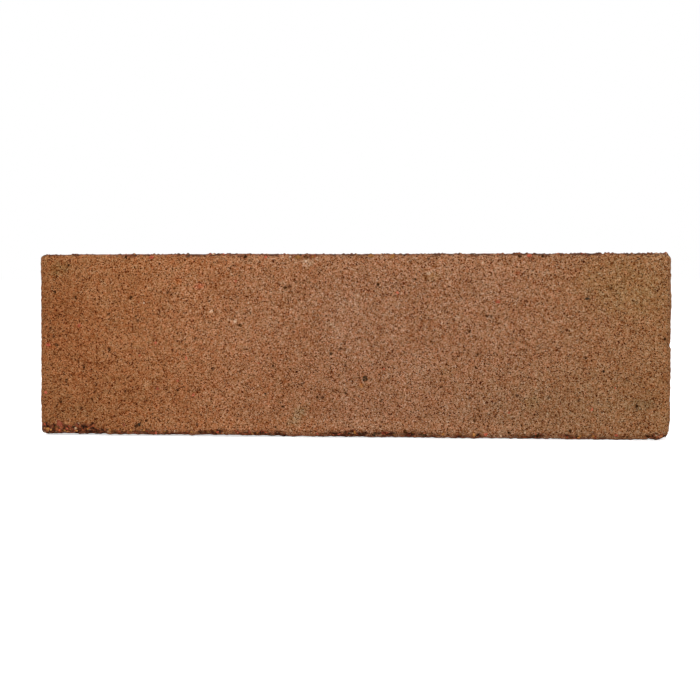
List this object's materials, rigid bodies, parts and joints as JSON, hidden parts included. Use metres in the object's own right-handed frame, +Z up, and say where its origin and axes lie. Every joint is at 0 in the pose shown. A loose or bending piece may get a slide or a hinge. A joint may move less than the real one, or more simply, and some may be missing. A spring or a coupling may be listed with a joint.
{
  "type": "clay facing brick",
  "caption": "Cored, extruded clay brick with a sand coat on one long side and both ends, laid on its bed in mortar in the outer leaf of a wall.",
  "frame": {"origin": "middle of the lower bed, on the plane the brick rests on", "axes": "+X along the brick's length, -Y out of the sanded long face, +Z up through the cores"},
  "size_m": [0.194, 0.092, 0.057],
  "materials": {
    "fired_clay": "matte",
    "facing_sand": "matte",
    "ironspot": "satin",
    "red_grog": "matte",
    "ochre_sandstone": "matte",
    "quartz": "satin",
    "slag": "satin"
  },
  "bodies": {
    "root": {"clay_body": "fired_clay", "front_sand_coat": "facing_sand", "left_end_sand_coat": "facing_sand", "right_end_sand_coat": "facing_sand", "ironspot_grains": "ironspot", "red_grog_grains": "red_grog", "ochre_sandstone_grains": "ochre_sandstone", "quartz_grains": "quartz", "slag_grains": "slag"}
  },
  "joints": []
}
